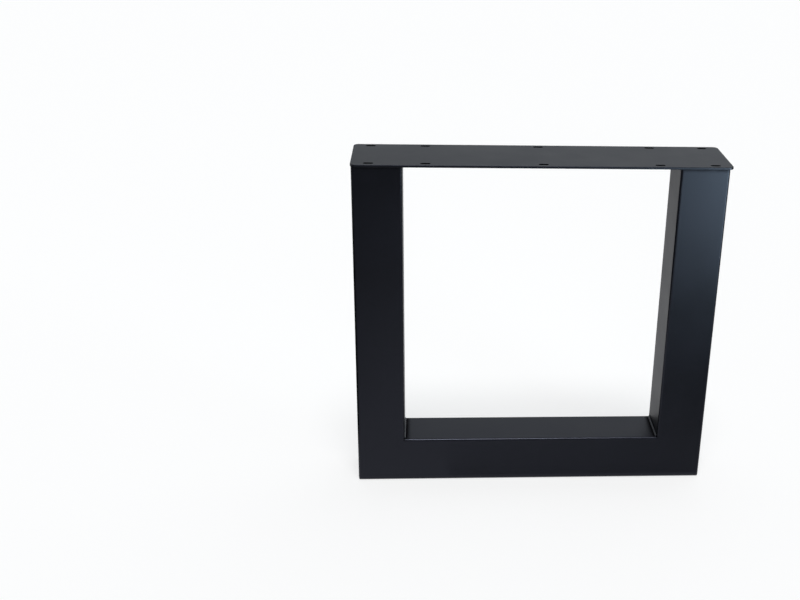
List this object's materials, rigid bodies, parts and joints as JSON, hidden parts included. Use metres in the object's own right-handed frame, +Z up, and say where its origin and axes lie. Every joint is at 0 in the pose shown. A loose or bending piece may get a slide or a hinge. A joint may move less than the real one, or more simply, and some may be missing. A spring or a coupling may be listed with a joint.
{
  "type": "u shaped table leg",
  "caption": "U shaped table leg of mitred square steel tube in satin black, with a slotted plate across its posts that screws to the underside of a table top.",
  "frame": {"origin": "on the floor, under the middle of the leg", "axes": "+X along the plate, +Y from the front to the back, +Z up"},
  "size_m": [0.75, 0.15, 0.72],
  "materials": {
    "black_powder_coat": "satin"
  },
  "bodies": {
    "root": {"top_plate": "black_powder_coat", "left_post": "black_powder_coat", "right_post": "black_powder_coat", "bottom_rail": "black_powder_coat", "left_corner_weld": "black_powder_coat", "right_corner_weld": "black_powder_coat", "left_plate_weld": "black_powder_coat", "right_plate_weld": "black_powder_coat"}
  },
  "joints": []
}
